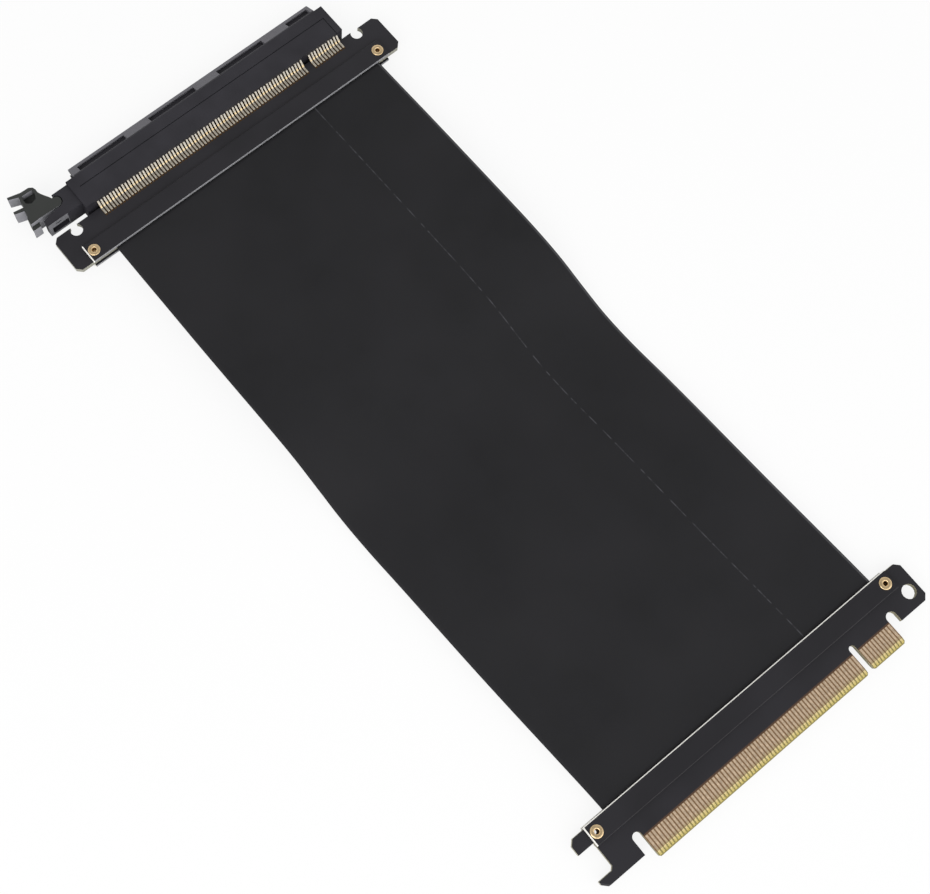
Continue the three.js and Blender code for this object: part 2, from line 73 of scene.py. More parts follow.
# Contacts in the card slot: how far they come from its middle, and where they lie along it
BEAM_REACH = 0.9
BEAM_MIDDLE = 7.2
BEAM_HALF = 2.85
SLOT_HALF = 42.3
KEY_X = 30
KEY_HALF = 0.95
TAIL_START = -0.92

# The overlapped edge of the cloth tape, right of the ribbon's middle
SEAM = 22.2
SEAM_STEPS = (SEAM - 0.2, SEAM, SEAM + 0.15)


def linear(code):
    """The linear colour of an sRGB hex value."""
    parts = [int(code[i:i + 2], 16) / 255 for i in (1, 3, 5)]
    return tuple(c / 12.92 if c <= 0.04045 else ((c + 0.055) / 1.055) ** 2.4 for c in parts)


def on_socket(x, y, z):
    """A point of the socket end, in millimetres, in the frame's metres."""
    return Vector(((x + SOCKET_X) * MM, (y + SOCKET_Y) * MM, z * MM))


def on_plug(x, y, z):
    """A point of the plug end, in millimetres from the tab's edge, in the frame's metres."""
    cos, sin = math.cos(PLUG_TURN), math.sin(PLUG_TURN)
    return Vector(((PLUG_X + cos * x - sin * y) * MM, (PLUG_Y + sin * x + cos * y) * MM, z * MM))


class Finish(bpy.types.PropertyGroup):
    """Colours and roughness of the cable's finishes."""

    wrap_colour: FloatVectorProperty(
        name="Cloth wrap", description="Colour of the matte cloth tape around the ribbon",
        subtype="COLOR", size=3, min=0, max=1, default=linear("#1f1f21"))
    mask_colour: FloatVectorProperty(
        name="Solder mask", description="Colour of the black solder mask on the boards and strips",
        subtype="COLOR", size=3, min=0, max=1, default=linear("#232226"))
    housing_colour: FloatVectorProperty(
        name="Housing", description="Colour of the moulded slot housing",
        subtype="COLOR", size=3, min=0, max=1, default=linear("#28272c"))
    latch_colour: FloatVectorProperty(
        name="Latch", description="Colour of the moulded latch",
        subtype="COLOR", size=3, min=0, max=1, default=linear("#2b2d2b"))
    gold_colour: FloatVectorProperty(
        name="Fingers", description="Colour of the gold-plated fingers",
        subtype="COLOR", size=3, min=0, max=1, default=linear("#e4ccb0"))
    brass_colour: FloatVectorProperty(
        name="Eyelets", description="Colour of the brass eyelets",
        subtype="COLOR", size=3, min=0, max=1, default=linear("#e2c79c"))
    tin_colour: FloatVectorProperty(
        name="Tails", description="Colour of the tinned contact tails",
        subtype="COLOR", size=3, min=0, max=1, default=linear("#cfcabf"))
    wrap_roughness: FloatProperty(
        name="Wrap roughness", description="How dull the cloth tape is",
        subtype="FACTOR", min=0, max=1, default=0.85)


class Sizes(bpy.types.PropertyGroup):
    """Sizes of the pieces that are added to the solids."""

    tail_width: FloatProperty(
        name="Tail width", description="Width of one contact tail",
        unit="LENGTH", min=0.0005, max=0.0007, default=0.52 * MM)
    finger_width: FloatProperty(
        name="Finger width", description="Width of one gold finger",
        unit="LENGTH", min=0.0005, max=0.0008, default=0.6 * MM)
    eyelet_radius: FloatProperty(
        name="Eyelet radius", description="Radius of an eyelet's flange",
        unit="LENGTH", min=0.001, max=0.002, default=1.7 * MM)
    wrap_step: FloatProperty(
        name="Overlap step", description="How far the overlapped edge of the cloth tape stands up",
        unit="LENGTH", min=0, max=0.0003, default=0.04 * MM)
    floor_size: FloatProperty(
        name="Floor", description="Side of the floor",
        unit="LENGTH", min=1, max=20, default=6.0)


# Node trees

def node(tree, kind, links=None, **settings):
    """Adds one node with its settings; each of its inputs takes a value, a socket or another node."""
    made = tree.nodes.new("ShaderNode" + kind)
    for name, value in settings.items():
        setattr(made, name, value)
    for name, value in (links or {}).items():
        socket = made.inputs[name]
        if isinstance(value, bpy.types.Node):
            value = next(output for output in value.outputs if output.enabled)
        if isinstance(value, bpy.types.NodeSocket):
            tree.links.new(value, socket)
        elif socket.type == "RGBA" and len(value) == 3:
            socket.default_value = (*value, 1)
        else:
            socket.default_value = value
    return made


def empty_material(name):
    """A material whose node tree holds nothing yet."""
    made = bpy.data.materials.new(name)
    made.use_nodes = True
    made.node_tree.nodes.clear()
    return made, made.node_tree


def shaded(colour, factor):
    return tuple(c * factor for c in colour)


def place(tree):
    """The object's own place in metres, and its X, Y and Z."""
    vector = node(tree, "TexCoord").outputs["Object"]
    return vector, node(tree, "SeparateXYZ", {0: vector}).outputs


def plug_place(tree):
    """X and Y from the middle of the tab's edge, along the turned plug, in metres."""
    vector, _ = place(tree)
    turned = node(tree, "Mapping", {
        "Vector": vector,
        "Location": (PLUG_X * MM, PLUG_Y * MM, 0),
        "Rotation": (0, 0, PLUG_TURN),
    }, vector_type="TEXTURE")
    return node(tree, "SeparateXYZ", {0: turned}).outputs


def contact_mask(tree, parts, above):
    """1 on the contacts that are fused to the housing: the beams in its slot and the tails behind it."""
    deep = node(tree, "Math", {0: above, 1: BEAM_REACH * MM}, operation="LESS_THAN")
    inside = node(tree, "Math", {
        0: parts[1], 1: (BEAM_MIDDLE + SOCKET_Y) * MM, 2: BEAM_HALF * MM}, operation="COMPARE")
    row = node(tree, "Math", {0: parts[0], 1: SOCKET_X * MM, 2: SLOT_HALF * MM}, operation="COMPARE")
    key = node(tree, "Math", {
        0: parts[0], 1: (KEY_X + SOCKET_X) * MM, 2: KEY_HALF * MM}, operation="COMPARE")
    keyless = node(tree, "Math", {0: 1.0, 1: key}, operation="SUBTRACT")
    beams = deep
    for limit in (inside, row, keyless):
        beams = node(tree, "Math", {0: beams, 1: limit}, operation="MULTIPLY")
    tails = node(tree, "Math", {0: parts[1], 1: (TAIL_START + SOCKET_Y) * MM}, operation="LESS_THAN")
    return node(tree, "Math", {0: beams, 1: tails}, operation="MAXIMUM")


def moulded_nylon(name, colour, specular, painted_highlight, reach, painted_land_highlight=None):
    """Glass-filled nylon from a spark-eroded mould: satin, with a fine grain and faint flow marks."""
    made, tree = empty_material(name)
    vector, parts = place(tree)
    flow = node(tree, "TexNoise", {"Vector": vector, "Scale": 1 / (9 * MM), "Detail": 2.0})
    tone = node(tree, "MapRange", {0: flow, 1: 0.3, 2: 0.7})
    base = node(tree, "Mix", {
        0: tone, 6: shaded(colour, 0.85), 7: shaded(colour, 1.18)}, data_type="RGBA")
    metal = 0.0
    if painted_land_highlight:
        # Painted highlight: the lands between the lip's pockets get a paler tone than the rest of the housing
        front = node(tree, "Math", {0: parts[1], 1: (9.1 + SOCKET_Y) * MM}, operation="GREATER_THAN")
        offset = node(tree, "Math", {0: parts[2], 1: SOCKET_MIDDLE * MM}, operation="SUBTRACT")
        above = node(tree, "Math", {0: offset}, operation="ABSOLUTE")
        high = node(tree, "Math", {0: above, 1: 1.95 * MM}, operation="GREATER_THAN")
        land = node(tree, "Math", {0: front, 1: high}, operation="MULTIPLY")
        base = node(tree, "Mix", {0: land, 6: base, 7: painted_land_highlight}, data_type="RGBA")
        metal = contact_mask(tree, parts, above)
        base = node(tree, "Mix", {0: metal, 6: base, 7: linear("#d9c39a")}, data_type="RGBA")

    # Painted highlight: faces towards the board get the paler tone that low light gives them, left of the
    # reach
    normal = node(tree, "NewGeometry").outputs["True Normal"]
    facing = node(tree, "SeparateXYZ", {0: normal}).outputs[1]
    frontal = node(tree, "Math", {0: facing, 1: -0.6}, operation="LESS_THAN")
    leftward = node(tree, "Math", {0: parts[0], 1: (reach + SOCKET_X) * MM}, operation="LESS_THAN")
    pale = node(tree, "Math", {0: frontal, 1: leftward}, operation="MULTIPLY")
    base = node(tree, "Mix", {0: pale, 6: base, 7: painted_highlight}, data_type="RGBA")

    # Mould grain of 0.25 mm, a little coarser than the real one so that it shows
    noise = node(tree, "TexNoise", {"Vector": vector, "Scale": 1 / (0.25 * MM), "Detail": 3.0})
    shader = node(tree, "BsdfPrincipled", {
        "Base Color": base,
        "Metallic": metal,
        "Roughness": node(tree, "MapRange", {0: flow, 1: 0.3, 2: 0.7, 3: 0.42, 4: 0.58}),
        "Specular IOR Level": specular,
        "Normal": node(tree, "Bump", {"Height": noise, "Strength": 0.35, "Distance": 0.02 * MM}),
    })
    node(tree, "OutputMaterial", {"Surface": shader})
    return made


def flat_cable(name, colour):
    """Extruded PVC flat cable: satin, with faint flow marks and a fine grain."""
    made, tree = empty_material(name)
    vector, _ = place(tree)
    flow = node(tree, "TexNoise", {"Vector": vector, "Scale": 1 / (9 * MM), "Detail": 2.0})
    tone = node(tree, "MapRange", {0: flow, 1: 0.3, 2: 0.7})
    noise = node(tree, "TexNoise", {"Vector": vector, "Scale": 1 / (0.25 * MM), "Detail": 3.0})
    shader = node(tree, "BsdfPrincipled", {
        "Base Color": node(tree, "Mix", {
            0: tone, 6: shaded(colour, 0.85), 7: shaded(colour, 1.18)}, data_type="RGBA"),
        "Roughness": node(tree, "MapRange", {0: flow, 1: 0.3, 2: 0.7, 3: 0.42, 4: 0.58}),
        "Specular IOR Level": 0.3,
        "Normal": node(tree, "Bump", {"Height": noise, "Strength": 0.35, "Distance": 0.02 * MM}),
    })
    node(tree, "OutputMaterial", {"Surface": shader})
    return made


def solder_mask(name, colour, marks):
    """Black epoxy solder mask on glass-fibre board: satin, slightly orange-peeled, pale at cut edges.

    The marks are tones for masks, each laid over the ones before it.
    """
    made, tree = empty_material(name)
    vector, _ = place(tree)
    cloud = node(tree, "TexNoise", {"Vector": vector, "Scale": 1 / (14 * MM), "Detail": 2.0})
    tone = node(tree, "MapRange", {0: cloud, 1: 0.35, 2: 0.65})
    base = node(tree, "Mix", {
        0: tone, 6: shaded(colour, 0.9), 7: shaded(colour, 1.15)}, data_type="RGBA")
    for mask, mark in marks(tree):
        base = node(tree, "Mix", {0: mask, 6: base, 7: linear(mark)}, data_type="RGBA")
    noise = node(tree, "TexNoise", {"Vector": vector, "Scale": 1 / (0.9 * MM), "Detail": 1.0})
    shader = node(tree, "BsdfPrincipled", {
        "Base Color": base,
        "Roughness": 0.38,
        "Specular IOR Level": 0.28,
        "Normal": node(tree, "Bump", {"Height": noise, "Strength": 0.12, "Distance": 0.015 * MM}),
    })
    node(tree, "OutputMaterial", {"Surface": shader})
    return made


def cut_sides(tree):
    """1 on the upright faces of a board."""
    normal = node(tree, "NewGeometry").outputs["Normal"]
    upward = node(tree, "SeparateXYZ", {0: normal}).outputs[2]
    level = node(tree, "Math", {0: upward}, operation="ABSOLUTE")
    return node(tree, "Math", {0: level, 1: 0.3}, operation="LESS_THAN")


def board_marks(tree):
    """Bare glass fibre on the routed sides."""
    return [(cut_sides(tree), "#8d8c80")]


def tab_marks(tree):
    """A brown line where the mask starts, bare board between the fingers, and the cut bevel."""
    along = plug_place(tree)
    inward = node(tree, "Math", {0: along[0]}, operation="ABSOLUTE")
    row = node(tree, "Math", {0: inward, 1: 42.4 * MM}, operation="LESS_THAN")
    marks = []
    for depth, mark in ((6.5, "#4f3a2c"), (6.1, "#7c6044"), (1.5, "#857a45")):
        near = node(tree, "Math", {0: along[1], 1: depth * MM}, operation="LESS_THAN")
        marks.append((node(tree, "Math", {0: near, 1: row}, operation="MULTIPLY"), mark))
    return marks + [(cut_sides(tree), "#8f8a72")]


def socket_strip_marks(tree):
    """Bare board on the cut sides, paler beside the ribbon; at the left end the pale bare board is painted
    white as a highlight where it is lit.
    """
    _, parts = place(tree)
    rim = node(tree, "Math", {0: parts[1], 1: (-14.17 + SOCKET_Y) * MM}, operation="LESS_THAN")
    end = node(tree, "Math", {0: parts[0], 1: (-52.42 + SOCKET_X) * MM}, operation="LESS_THAN")
    return [(cut_sides(tree), "#7c7c80"), (rim, "#8a8a8d"), (end, "#f0eee8")]


def plug_strip_marks(tree):
    """Bare board on the cut sides; beside the ribbon and at the left end the pale bare board is painted white
    as a highlight on the edge.
    """
    along = plug_place(tree)
    rim = node(tree, "Math", {0: along[1], 1: 16.9 * MM}, operation="GREATER_THAN")
    end = node(tree, "Math", {0: along[0], 1: -52.4 * MM}, operation="LESS_THAN")
    return [(cut_sides(tree), "#7c7c80"), (rim, "#f0eee8"), (end, "#f0eee8")]


def plated(name, colour, roughness, cast=None):
    """Plated metal: smooth, with faint drag marks and a slight change of tone."""
    made, tree = empty_material(name)
    vector, _ = place(tree)
    cloud = node(tree, "TexNoise", {"Vector": vector, "Scale": 1 / (0.8 * MM), "Detail": 4.0})
    tone = node(tree, "MapRange", {0: cloud, 1: 0.3, 2: 0.7})
    base = node(tree, "Mix", {0: tone, 6: shaded(colour, 0.82), 7: colour}, data_type="RGBA")
    if cast:
        edge = plug_place(tree)[1]
        near = node(tree, "MapRange", {0: edge, 1: 0.6 * MM, 2: 2.6 * MM, 3: 1.0, 4: 0.0})
        base = node(tree, "Mix", {0: near, 6: base, 7: cast}, data_type="RGBA")
    noise = node(tree, "TexNoise", {"Vector": vector, "Scale": 1 / (0.3 * MM), "Detail": 3.0})
    low, high = roughness * 0.85, roughness * 1.25
    shader = node(tree, "BsdfPrincipled", {
        "Base Color": base,
        "Metallic": 1.0,
        "Roughness": node(tree, "MapRange", {0: cloud, 1: 0.3, 2: 0.7, 3: low, 4: high}),
        "Normal": node(tree, "Bump", {"Height": noise, "Strength": 0.12, "Distance": 0.004 * MM}),
    })
    node(tree, "OutputMaterial", {"Surface": shader})
    return made


def woven_tape(name, colour, roughness):
    """Acetate cloth tape, woven and heat-set: dull, faintly ribbed, mottled where it was pressed on."""
    made, tree = empty_material(name)

    # The sheet's coordinates are decimetres across and along the ribbon, so a millimetre is 0.01
    sheet = node(tree, "UVMap", uv_map="tape").outputs[0]
    across, along, _ = node(tree, "SeparateXYZ", {0: sheet}).outputs
    cloud = node(tree, "TexNoise", {"Vector": sheet, "Scale": 11.0, "Detail": 5.0, "Roughness": 0.6})
    patch = node(tree, "TexNoise", {"Vector": sheet, "Scale": 2.6, "Detail": 2.0})
    tone = node(tree, "MapRange", {0: cloud, 1: 0.3, 2: 0.7})
    base = node(tree, "Mix", {
        0: tone, 6: shaded(colour, 0.84), 7: shaded(colour, 1.16)}, data_type="RGBA")
    broad = node(tree, "MapRange", {0: patch, 1: 0.35, 2: 0.65, 4: 0.5})
    dusty = (colour[0] * 1.5, colour[1] * 1.46, colour[2] * 1.46)
    base = node(tree, "Mix", {0: broad, 6: base, 7: dusty}, data_type="RGBA")

    # The overlapped edge of the tape shows as a row of pale specks
    offset = node(tree, "Math", {0: across, 1: SEAM * 0.01}, operation="SUBTRACT")
    seam = node(tree, "Math", {0: offset}, operation="ABSOLUTE")
    narrow = node(tree, "MapRange", {0: seam, 1: 0.0008, 2: 0.002, 3: 1.0, 4: 0.0})
    dashes = node(tree, "TexNoise", {"Scale": 36.0, "Detail": 3.0, "W": along}, noise_dimensions="1D")
    specks = node(tree, "MapRange", {0: dashes, 1: 0.4, 2: 0.62})
    stitched = node(tree, "Math", {0: narrow, 1: specks}, operation="MULTIPLY")
    base = node(tree, "Mix", {0: stitched, 6: base, 7: linear("#434347")}, data_type="RGBA")

    # A painted highlight: a pale line just inside the right edge, where the rounded edge catches the light
    offset = node(tree, "Math", {0: across, 1: 0.4515}, operation="SUBTRACT")
    fold = node(tree, "Math", {0: offset}, operation="ABSOLUTE")
    painted_highlight = node(tree, "MapRange", {0: fold, 1: 0.0006, 2: 0.003, 3: 0.3, 4: 0.0})
    base = node(tree, "Mix", {0: painted_highlight, 6: base, 7: linear("#77777b")}, data_type="RGBA")

    # Threads every 0.5 mm, coarser than the real 0.25 mm so that they show
    waves = []
    for part in (across, along):
        turn = node(tree, "Math", {0: part, 1: math.tau / 0.005}, operation="MULTIPLY")
        waves.append(node(tree, "Math", {0: turn}, operation="SINE"))
    weave = node(tree, "Math", {0: waves[0], 1: waves[1]}, operation="MULTIPLY")
    height = node(tree, "Math", {0: weave, 1: 0.4, 2: cloud}, operation="MULTIPLY_ADD")
    low, high = roughness - 0.08, roughness + 0.08
    shader = node(tree, "BsdfPrincipled", {
        "Base Color": base,
        "Roughness": node(tree, "MapRange", {0: cloud, 1: 0.3, 2: 0.7, 3: low, 4: high}),
        "Specular IOR Level": 0.18,
        "Normal": node(tree, "Bump", {"Height": height, "Strength": 0.3, "Distance": 0.05 * MM}),
    })
    node(tree, "OutputMaterial", {"Surface": shader})
    return made


# Meshes

def piece(name, points, faces, finish, smooth=False):
    """A mesh object of the scene, with one material."""
    mesh = bpy.data.meshes.new(name)
    mesh.from_pydata([tuple(p) for p in points], [], faces)
    mesh.validate()
    shape = bmesh.new()
    shape.from_mesh(mesh)
    bmesh.ops.recalc_face_normals(shape, faces=shape.faces)
    shape.to_mesh(mesh)
    shape.free()
    for face in mesh.polygons:
        face.use_smooth = smooth
    made = bpy.data.objects.new(name, mesh)
    bpy.context.scene.collection.objects.link(made)
    mesh.materials.append(finish)
    return made


def row_of_bars(profile_of, half, to_frame):
    """One bar for each contact, from a profile of (y, z) points."""
    points, faces = [], []
    for index, x in enumerate(CONTACTS):
        for flip in (1, -1):
            profile = profile_of(index, flip)
            start, count = len(points), len(profile)
            for side in (-half, half):
                points += [to_frame(x + side, y, z) for y, z in profile]
            for i in range(count):
                j = (i + 1) % count
                faces.append((start + i, start + j, start + count + j, start + count + i))
            faces.append(tuple(range(start, start + count)))
            faces.append(tuple(range(start + 2 * count - 1, start + count - 1, -1)))
    return points, faces


def soften(made, width, segments=2, angle=25):
    """Small rounds along the sharp edges."""
    bevel = made.modifiers.new("round", "BEVEL")
    bevel.width = width
    bevel.segments = segments
    bevel.limit_method = "ANGLE"
    bevel.angle_limit = math.radians(angle)
    bevel.harden_normals = False


class RISER_OT_contact_tails(bpy.types.Operator):
    """Tinned tails of the socket's contacts, bent down to the board"""

    bl_idname = "riser.contact_tails"
    bl_label = "Contact tails"

    def execute(self, context):
        finish, sizes = context.scene.riser_finish, context.scene.riser_sizes
        pad = SOCKET_MIDDLE + BOARD_HALF + 0.02

        def profile(index, flip):
            root = SOCKET_MIDDLE + 2.65 + (0.3 if index % 2 else 0.0)
            upper = [
                (-0.85, root + 0.07), (-1.05, root), (-2.2, pad + 0.43), (-2.42, pad + 0.28),
                (-2.7, pad + 0.225), (-4.2, pad + 0.225), (-4.33, pad + 0.15), (-4.33, pad - 0.015),
                (-2.53, pad - 0.015), (-0.85, root - 0.34)]
            return [(y, z if flip > 0 else 2 * SOCKET_MIDDLE - z) for y, z in upper]

        tin = plated("tinned_bronze", tuple(finish.tin_colour), 0.58)
        points, faces = row_of_bars(profile, sizes.tail_width / MM / 2, on_socket)
        tails = piece("contact_tails", points, faces, tin)
        soften(tails, 0.05 * MM)
        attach(tails, "cable")

        def land(_, flip):
            top = SOCKET_MIDDLE + flip * (BOARD_HALF + 0.012)
            low = SOCKET_MIDDLE + flip * (BOARD_HALF - 0.05)
            return [(-4.75, low), (-4.75, top), (-1.95, top), (-1.95, low)]

        pads = plated("tinned_copper_pad", linear("#5e4830"), 0.55)
        points, faces = row_of_bars(land, 0.36, on_socket)
        lands = piece("solder_pads", points, faces, pads)
        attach(lands, "cable")
        return {"FINISHED"}


class RISER_OT_gold_fingers(bpy.types.Operator):
    """Gold-plated fingers on both faces of the plug's tab"""

    bl_idname = "riser.gold_fingers"
    bl_label = "Gold fingers"

    def execute(self, context):
        finish, sizes = context.scene.riser_finish, context.scene.riser_sizes
        slope = 0.45 / 1.5

        def profile(_, flip):
            outer = [
                (0.33, BOARD_HALF - 0.45 + slope * 0.33 - 0.02),
                (0.33, BOARD_HALF - 0.45 + slope * 0.33 + 0.075),
                (1.5, BOARD_HALF + 0.075), (6.07, BOARD_HALF + 0.075), (6.07, BOARD_HALF - 0.02)]
            return [(y, PLUG_MIDDLE + flip * z) for y, z in outer]

        gold = plated("hard_gold_plate", tuple(finish.gold_colour), 0.42, cast=linear("#b3a566"))
        points, faces = row_of_bars(profile, sizes.finger_width / MM / 2, on_plug)
        fingers = piece("gold_fingers", points, faces, gold)
        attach(fingers, "cable")
        return {"FINISHED"}


class RISER_OT_eyelets(bpy.types.Operator):
    """Four rolled brass eyelets through strips and boards"""

    bl_idname = "riser.eyelets"
    bl_label = "Eyelets"

    def execute(self, context):
        finish, sizes = context.scene.riser_finish, context.scene.riser_sizes
        brass = plated("rolled_brass", tuple(finish.brass_colour), 0.3)
        flange = sizes.eyelet_radius / MM
        high = 2.235
        curl = [
            (0.6, 0), (0.6, high - 0.3), (0.68, high - 0.1), (0.85, high - 0.01), (1.15, high),
            (flange - 0.2, high - 0.05), (flange - 0.05, high - 0.12), (flange, high - 0.2),
            (flange - 0.02, high - 0.25), (0.95, high - 0.25)]
        ring = curl + [(r, -z) for r, z in reversed(curl[1:])]
        places = {
            "socket_eyelet_left": (on_socket, -50.6, -11.45, SOCKET_MIDDLE),
            "socket_eyelet_right": (on_socket, 48.0, -11.45, SOCKET_MIDDLE),
            "plug_eyelet_left": (on_plug, -50.6, 14.3, PLUG_MIDDLE),
            "plug_eyelet_right": (on_plug, 48.0, 14.3, PLUG_MIDDLE)}
        steps = 48
        for name, (to_frame, x, y, middle) in places.items():
            points, faces = [], []
            for i in range(steps):
                turn = math.tau * i / steps
                for r, z in ring:
                    points.append(to_frame(x + r * math.cos(turn), y + r * math.sin(turn), middle + z))
            count = len(ring)
            for i in range(steps):
                following = (i + 1) % steps
                for k in range(count):
                    nearby = (k + 1) % count
                    here, there = i * count, following * count
                    faces.append((here + k, there + k, there + nearby, here + nearby))
            eyelet = piece(name + "_rolled", points, faces, brass, smooth=True)
            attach(eyelet, "cable")
            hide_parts(name)
        return {"FINISHED"}


# Middle of the ribbon, as the solids have it, in millimetres from the socket's row
ROUTE = [
    (0.7, -13.75, 3.85), (0.7, -17, 3.9), (0.6, -24, 4.5), (0.5, -36, 5.4), (0.4, -50, 6.2), (0.5, -66, 6.5),
    (0.7, -80, 6.3), (0.9, -91, 5.0), (0.9, -101, 2.8), (0.8, -109, 1.5), (0.8, -115, 1.17), (0.9, -123, 1.4),
    (1.2, -134, 2.3), (1.6, -148, 2.9), (2.1, -162, 3.0), (2.8, -176, 2.75),
    (3.6, -190, 2.45), (4.3, -203, PLUG_MIDDLE)]


def route_points(steps):
    """Points and shares along the ribbon's middle, between the edges of the two boards."""
    end = on_plug(0.1, 16.6, PLUG_MIDDLE) / MM
    knots = [Vector((x + SOCKET_X, y + SOCKET_Y, z)) for x, y, z in ROUTE] + [end]
    knots = [2 * knots[0] - knots[1]] + knots + [2 * knots[-1] - knots[-2]]
    dense = []
    for a, b, c, d in zip(knots, knots[1:], knots[2:], knots[3:]):
        times = [0.0]
        for first, second in ((a, b), (b, c), (c, d)):
            times.append(times[-1] + math.sqrt((second - first).length))
        for i in range(24):
            t = times[1] + (times[2] - times[1]) * i / 24
            low = [p.lerp(q, (t - s) / (e - s)) for p, q, s, e in (
                (a, b, times[0], times[1]), (b, c, times[1], times[2]), (c, d, times[2], times[3]))]
            mid = [low[0].lerp(low[1], (t - times[0]) / (times[2] - times[0])),
                   low[1].lerp(low[2], (t - times[1]) / (times[3] - times[1]))]
            dense.append(mid[0].lerp(mid[1], (t - times[1]) / (times[2] - times[1])))
    dense.append(end)
    lengths = [0.0]
    for first, second in zip(dense, dense[1:]):
        lengths.append(lengths[-1] + (second - first).length)
    found, place_in = [], 0
    for i in range(steps + 1):
        want = 0.3 + (lengths[-1] - 0.6) * i / steps
        while lengths[place_in + 1] < want:
            place_in += 1
        share = (want - lengths[place_in]) / (lengths[place_in + 1] - lengths[place_in])
        found.append((dense[place_in].lerp(dense[place_in + 1], share), want / lengths[-1], want))
    return found


class RISER_OT_cloth_wrap(bpy.types.Operator):
    """Cloth tape wrapped round the two layers of flat cable"""

    bl_idname = "riser.cloth_wrap"
    bl_label = "Cloth wrap"

    def execute(self, context):
        finish, sizes = context.scene.riser_finish, context.scene.riser_sizes
        half = RIBBON_WIDE / 2
        step = sizes.wrap_step / MM

        # Half section from the left edge to the right one, with its height over the middle
        spots = [-half, -half + 0.08, -half + 0.3, -half + 0.62, -half + 1.0]
        spots += [-half + 1.0 + (2 * half - 2.0) * i / 62 for i in range(1, 62)]
        spots += SEAM_STEPS
        spots += [half - 1.0, half - 0.62, half - 0.3, half - 0.08, half]
        spots.sort()

        def height(across):
            inset = half - abs(across)
            if inset >= 1.0:
                rise = RIBBON_HALF
            else:
                rise = RIBBON_HALF * math.sqrt(max(0.0, 1 - (1 - inset) ** 2.4))
            return rise - (step if across > SEAM and inset >= 1.0 else 0.0)

        def uneven(across, along):
            inset = min(1.0, (half - abs(across)) / 6)
            ends = min(1.0, along / 12, (194.2 - along) / 12)
            wave = math.sin(across * 0.19 + along * 0.071) + math.sin(across * 0.11 - along * 0.13 + 1.7)
            return -0.025 * max(0.0, inset * ends) * (1 + 0.5 * wave)

        ring = [(u, 1) for u in spots] + [(u, -1) for u in reversed(spots[1:-1])]
        stations = route_points(150)
        points, sheet = [], []
        for at, share, along in stations:
            turn = PLUG_TURN * share
            for across, side in ring:
                lift = height(across) + uneven(across, along)
                sideways = Vector((math.cos(turn) * across, math.sin(turn) * across, side * lift))
                points.append((at + sideways) * MM)
                sheet.append((across * 0.01, along * 0.01))
        count = len(ring)
        faces = []
        for i in range(len(stations) - 1):
            for k in range(count):
                nearby = (k + 1) % count
                here, there = i * count, (i + 1) * count
                faces.append((here + k, here + nearby, there + nearby, there + k))
        faces.append(tuple(range(count)))
        last = (len(stations) - 1) * count
        faces.append(tuple(last + k for k in reversed(range(count))))
        tape = woven_tape("acetate_cloth_tape", tuple(finish.wrap_colour), finish.wrap_roughness)
        wrap = piece("cloth_wrap", points, faces, tape, smooth=True)
        coordinates = wrap.data.uv_layers.new(name="tape")
        for loop in wrap.data.loops:
            coordinates.data[loop.index].uv = sheet[loop.vertex_index]
        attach(wrap, "cable")
        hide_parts("ribbon_wrap")
        return {"FINISHED"}


class RISER_OT_finishes(bpy.types.Operator):
    """Finishes of the solids that stay as they are: housing, latch, boards, strips and cable layers"""

    bl_idname = "riser.finishes"
    bl_label = "Finishes"

    def execute(self, context):
        finish = context.scene.riser_finish
        mask = tuple(finish.mask_colour)
        strip = shaded(mask, 0.85)
        # Both mouldings get a painted highlight, a paler colour, on their faces towards the board; the
        # housing also gets one on the lands of its lip
        housing = moulded_nylon(
            "moulded_nylon_housing", tuple(finish.housing_colour), specular=0.25,
            painted_highlight=linear("#6c6c70"), reach=-50.0, painted_land_highlight=linear("#605f64"))
        lever = moulded_nylon(
            "moulded_nylon_latch", tuple(finish.latch_colour), specular=0.4,
            painted_highlight=linear("#85858a"), reach=200.0)
        board = solder_mask("solder_mask_board", mask, board_marks)
        tab = solder_mask("solder_mask_tab_board", mask, tab_marks)
        socket_strip = solder_mask("solder_mask_socket_strip", strip, socket_strip_marks)
        plug_strip = solder_mask("solder_mask_plug_strip", strip, plug_strip_marks)
        cable = flat_cable("extruded_flat_cable", linear("#8d8f93"))
        dress = {
            "socket_housing": housing, "socket_latch": lever, "socket_board": board, "plug_board": tab,
            "socket_strip_upper": socket_strip, "socket_strip_lower": socket_strip,
            "plug_strip_upper": plug_strip, "plug_strip_lower": plug_strip,
            "ribbon_layer_upper": cable, "ribbon_layer_lower": cable}
        for name, made in dress.items():
            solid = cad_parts[name]
            for place_of in solid.material_slots:
                place_of.link = "OBJECT"
                place_of.material = made
        return {"FINISHED"}


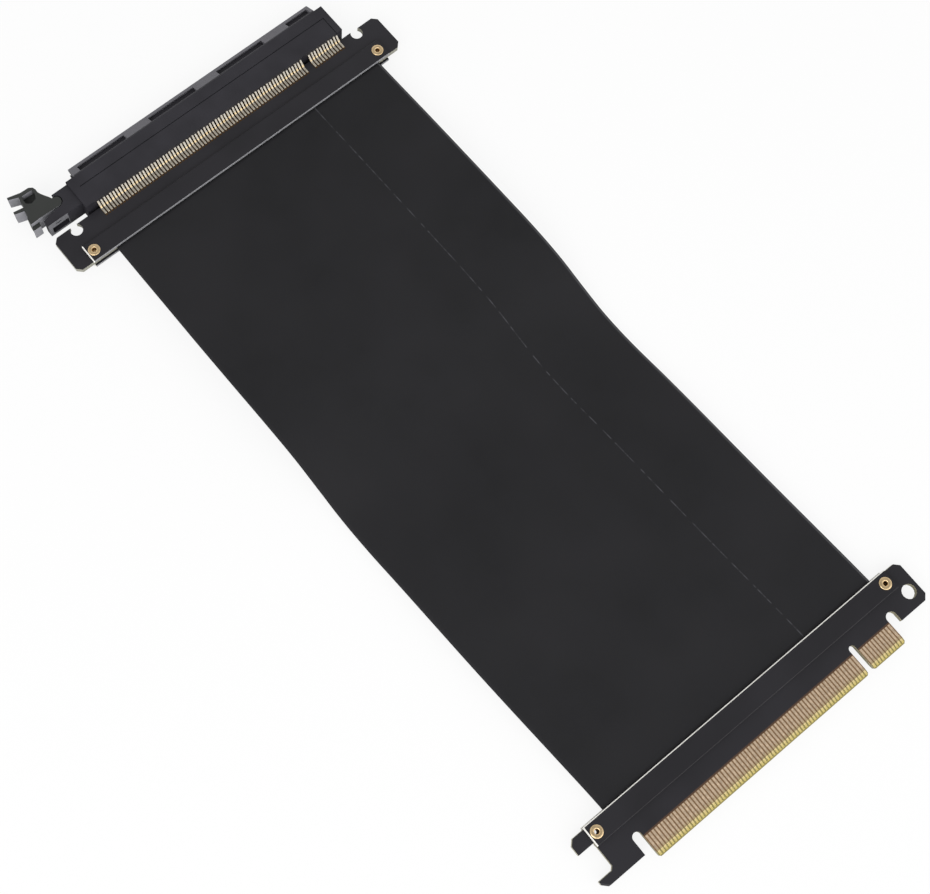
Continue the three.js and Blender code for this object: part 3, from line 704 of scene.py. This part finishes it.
class RISER_OT_studio(bpy.types.Operator):
    """White floor, soft light that is brighter from the sides, and the camera above the cable"""

    bl_idname = "riser.studio"
    bl_label = "Studio"

    def execute(self, context):
        side = context.scene.riser_sizes.floor_size / 2
        floor_finish, tree = empty_material("white_floor")
        diffuse = node(tree, "BsdfDiffuse", {"Color": (0.82, 0.82, 0.82)})
        glow = node(tree, "Emission", {"Color": (1, 1, 1), "Strength": 1.0})
        seen = node(tree, "LightPath").outputs["Is Camera Ray"]
        share = node(tree, "Math", {0: seen, 1: 0.86}, operation="MULTIPLY")
        mixed = node(tree, "MixShader", {0: share, 1: diffuse, 2: glow})
        node(tree, "OutputMaterial", {"Surface": mixed})
        corners = [(-side, -side, 0), (side, -side, 0), (side, side, 0), (-side, side, 0)]
        floor = piece("floor", corners, [(0, 1, 2, 3)], floor_finish)

        world = bpy.data.worlds.new("studio")
        context.scene.world = world
        world.use_nodes = True
        tree = world.node_tree
        tree.nodes.clear()
        direction = node(tree, "TexCoord").outputs["Generated"]
        height = node(tree, "SeparateXYZ", {0: direction}).outputs[2]
        soft = node(tree, "MapRange", {0: height, 1: 0.0, 2: 1.0, 3: 1.35, 4: 0.42})
        seen = node(tree, "LightPath").outputs["Is Camera Ray"]
        unseen = node(tree, "Math", {0: 1.0, 1: seen}, operation="SUBTRACT")
        strength = node(tree, "Math", {0: soft, 1: unseen, 2: seen}, operation="MULTIPLY_ADD")
        sky = node(tree, "Background", {"Color": (1, 1, 1), "Strength": strength})
        node(tree, "OutputWorld", {"Surface": sky})

        for name, spot, power, size in (
                ("softbox_left", (-0.75, -0.35, 0.75), 5.5, 0.7),
                ("softbox_front", (0.15, -1.1, 0.3), 10.0, 1.6)):
            lamp = bpy.data.lights.new(name, "AREA")
            lamp.energy = power
            lamp.size = size
            placed = bpy.data.objects.new(name, lamp)
            placed.location = spot
            placed.rotation_euler = (-Vector(spot)).to_track_quat("-Z", "Y").to_euler()
            context.scene.collection.objects.link(placed)

        # The photograph was taken from above, a little left of the plug, 17 degrees from straight down
        view = bpy.data.cameras.new("camera")
        view.sensor_width = 36.0
        view.lens = 1464 / 930 * 36
        view.shift_x = (465 - 377) / 930
        view.shift_y = (433 - 447) / 930
        view.clip_start = 0.01
        camera = bpy.data.objects.new("camera", view)
        right = Vector((0.772804, -0.633875, 0.031246))
        up = Vector((0.599163, 0.744946, 0.293359))
        back = Vector((-0.209230, -0.207988, 0.955492))
        turned = Matrix((right, up, back)).transposed().to_4x4()
        camera.matrix_world = Matrix.Translation(Vector((-102.711, -72.914, 369.958)) * MM) @ turned
        context.scene.collection.objects.link(camera)
        context.scene.camera = camera
        context.scene.view_settings.view_transform = "Standard"
        return {"FINISHED"}


class RISER_PT_panel(bpy.types.Panel):
    """Pieces and finishes of the riser cable"""

    bl_label = "Riser cable"
    bl_idname = "RISER_PT_panel"
    bl_space_type = "VIEW_3D"
    bl_region_type = "UI"
    bl_category = "Riser"

    def draw(self, context):
        for group in (context.scene.riser_sizes, context.scene.riser_finish):
            for name in group.__annotations__:
                self.layout.prop(group, name)
        for operator in OPERATORS:
            self.layout.operator(operator.bl_idname)


OPERATORS = (
    RISER_OT_studio,
    RISER_OT_cloth_wrap,
    RISER_OT_contact_tails,
    RISER_OT_gold_fingers,
    RISER_OT_eyelets,
    RISER_OT_finishes,
)
CLASSES = (Finish, Sizes, *OPERATORS, RISER_PT_panel)


def register():
    for made in CLASSES:
        bpy.utils.register_class(made)
    bpy.types.Scene.riser_finish = PointerProperty(type=Finish)
    bpy.types.Scene.riser_sizes = PointerProperty(type=Sizes)


def unregister():
    del bpy.types.Scene.riser_sizes
    del bpy.types.Scene.riser_finish
    for made in reversed(CLASSES):
        bpy.utils.unregister_class(made)


def main():
    register()
    bpy.ops.riser.studio()
    bpy.ops.riser.cloth_wrap()
    bpy.ops.riser.contact_tails()
    bpy.ops.riser.gold_fingers()
    bpy.ops.riser.eyelets()
    bpy.ops.riser.finishes()


if __name__ == "__main__":
    main()
